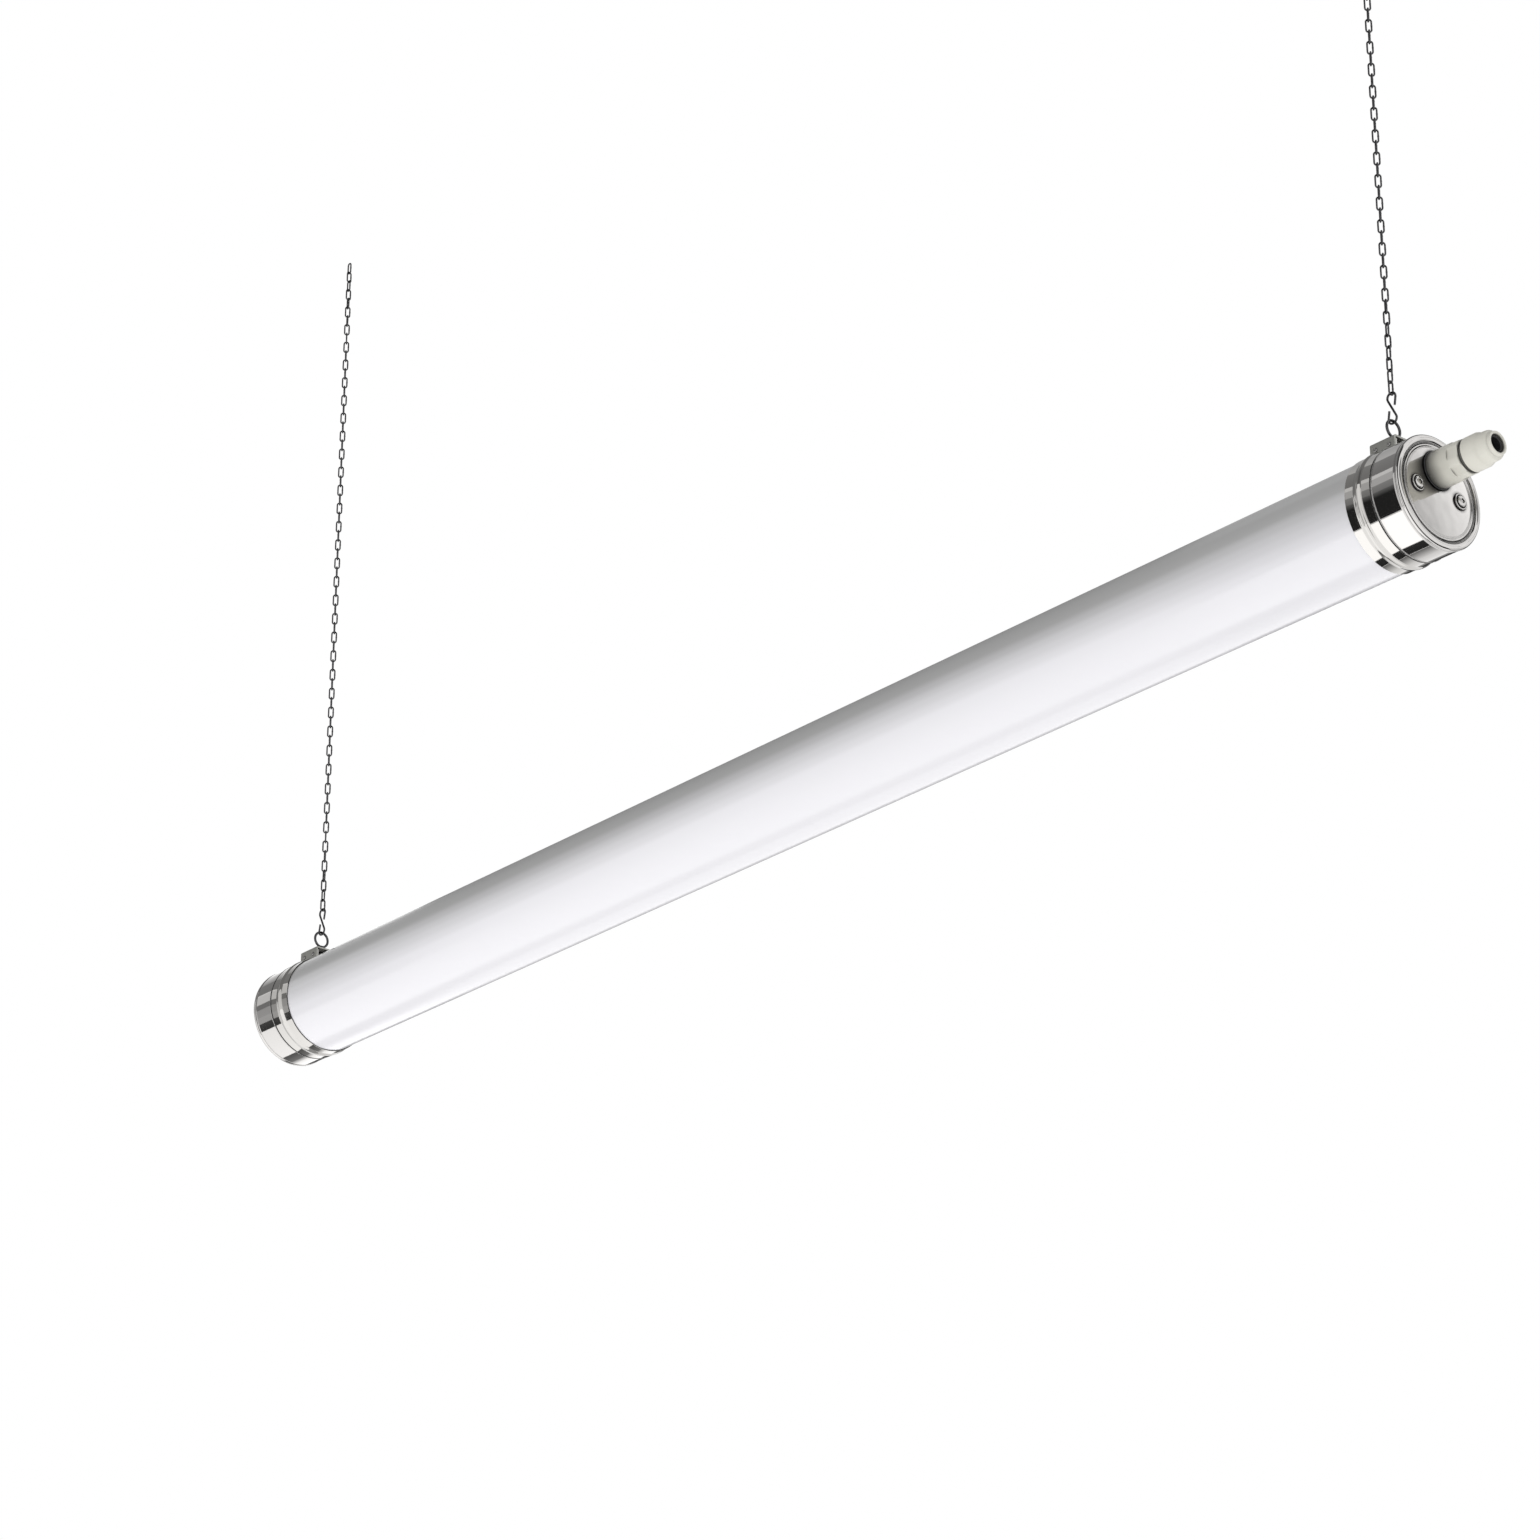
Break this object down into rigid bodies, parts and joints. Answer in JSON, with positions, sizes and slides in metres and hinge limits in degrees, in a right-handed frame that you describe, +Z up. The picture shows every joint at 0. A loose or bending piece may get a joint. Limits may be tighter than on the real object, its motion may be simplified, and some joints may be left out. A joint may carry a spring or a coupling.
{
  "type": "hanging tubular work light",
  "caption": "Closed opal tube light with polished steel end caps and a cable gland, hung by clamp bands, eye bolts and S-hooks from two thin chains.",
  "frame": {"origin": "the inner top of the left chain's top link, where a ceiling hook bears", "axes": "+X runs along the tube to the end with the cable gland, +Z is up, the front is -Y"},
  "size_m": [1.3318, 0.0836, 0.7618],
  "materials": {
    "chain_steel": "zinc-plated steel wire",
    "hook_steel": "zinc-plated steel wire",
    "zinc_sheet": "zinc-plated sheet, satin",
    "fastener_steel": "stainless, turned",
    "polished_steel": "pressed stainless steel, polished",
    "opal_tube": "opal plastic, glossy",
    "rubber": "black rubber",
    "white_plastic": "moulded",
    "grey_plastic": "moulded light grey",
    "aluminium": "extruded, white-coated below",
    "light_board": "white solder resist",
    "brown_wire": "wire insulation",
    "red_wire": "wire insulation",
    "green_wire": "wire insulation",
    "brass": "turned brass"
  },
  "bodies": {
    "ceiling_links": {"top_link_left": "chain_steel", "top_link_right": "chain_steel"},
    "sway_links": {"sway_link_left": "chain_steel", "sway_link_right": "chain_steel"},
    "left_chain": {"chain_left": "chain_steel"},
    "right_chain": {"chain_right": "chain_steel"},
    "left_hook": {"s_hook_left": "hook_steel"},
    "right_hook": {"s_hook_right": "hook_steel"},
    "clamps": {"eye_bolt_left": "hook_steel", "eye_bolt_right": "hook_steel", "eye_washers": "fastener_steel", "eye_nuts": "fastener_steel", "saddle_left": "zinc_sheet", "saddle_right": "zinc_sheet", "clamp_band_left": "polished_steel", "clamp_band_right": "polished_steel", "saddle_rivets_left": "fastener_steel", "saddle_rivets_right": "fastener_steel"},
    "light": {"opal_tube": "opal_tube", "end_cap_left": "polished_steel", "end_cap_right": "polished_steel", "cap_seal_left": "rubber", "cap_seal_right": "rubber", "cup_washers_left": "fastener_steel", "cup_washers_right": "fastener_steel", "cap_screws_left": "fastener_steel", "cap_screws_right": "fastener_steel", "yoke_left": "zinc_sheet", "yoke_right": "zinc_sheet", "yoke_screws": "fastener_steel", "end_guide_left": "white_plastic", "end_guide_right": "white_plastic", "gear_tray": "aluminium", "led_board_1": "light_board", "led_board_2": "light_board", "led_board_3": "light_board", "led_board_4": "light_board", "board_connectors": "white_plastic", "board_screws": "fastener_steel", "driver_base": "zinc_sheet", "driver_cover": "aluminium", "driver_screws": "fastener_steel", "terminal_block": "white_plastic", "terminal_screws": "fastener_steel", "supply_leads": "brown_wire", "led_leads": "red_wire", "earth_stud": "brass", "earth_lead": "green_wire", "gland_gasket": "rubber", "gland_body": "grey_plastic", "gland_seal": "rubber", "gland_nut": "grey_plastic", "gland_locknut": "grey_plastic"}
  },
  "joints": [
    {"name": "sway", "type": "hinge", "parent": "ceiling_links", "child": "sway_links", "pos_m": [0, 0, -0.00975], "axis": [1, 0, 0], "range_deg": [-25, 25]},
    {"name": "swing", "type": "hinge", "parent": "sway_links", "child": "left_chain", "pos_m": [0, 0, -0.01875], "axis": [0, 1, 0], "range_deg": [-20, 20]},
    {"name": "swing_right", "type": "hinge", "parent": "sway_links", "child": "right_chain", "pos_m": [1.205, 0, -0.01875], "axis": [0, 1, 0], "range_deg": [-20.5, 20.5]},
    {"name": "level", "type": "hinge", "parent": "left_chain", "child": "left_hook", "pos_m": [0, 0, -0.63075], "axis": [0, 1, 0], "range_deg": [-20.5, 20.5]},
    {"name": "level_right", "type": "hinge", "parent": "right_chain", "child": "right_hook", "pos_m": [1.205, 0, -0.63075], "axis": [0, 1, 0], "range_deg": [-20.5, 20.5]},
    {"name": "rock", "type": "hinge", "parent": "left_hook", "child": "clamps", "pos_m": [0, 0, -0.6526], "axis": [1, 0, 0], "range_deg": [-20, 20]},
    {"name": "turn", "type": "hinge", "parent": "clamps", "child": "light", "pos_m": [0, 0, -0.7187], "axis": [1, 0, 0], "range_deg": [-90, 90]}
  ],
  "couplings": [
    {"joint": "swing_right", "follows": "swing", "ratio": 1},
    {"joint": "level", "follows": "swing", "ratio": -1},
    {"joint": "level_right", "follows": "swing", "ratio": -1}
  ]
}
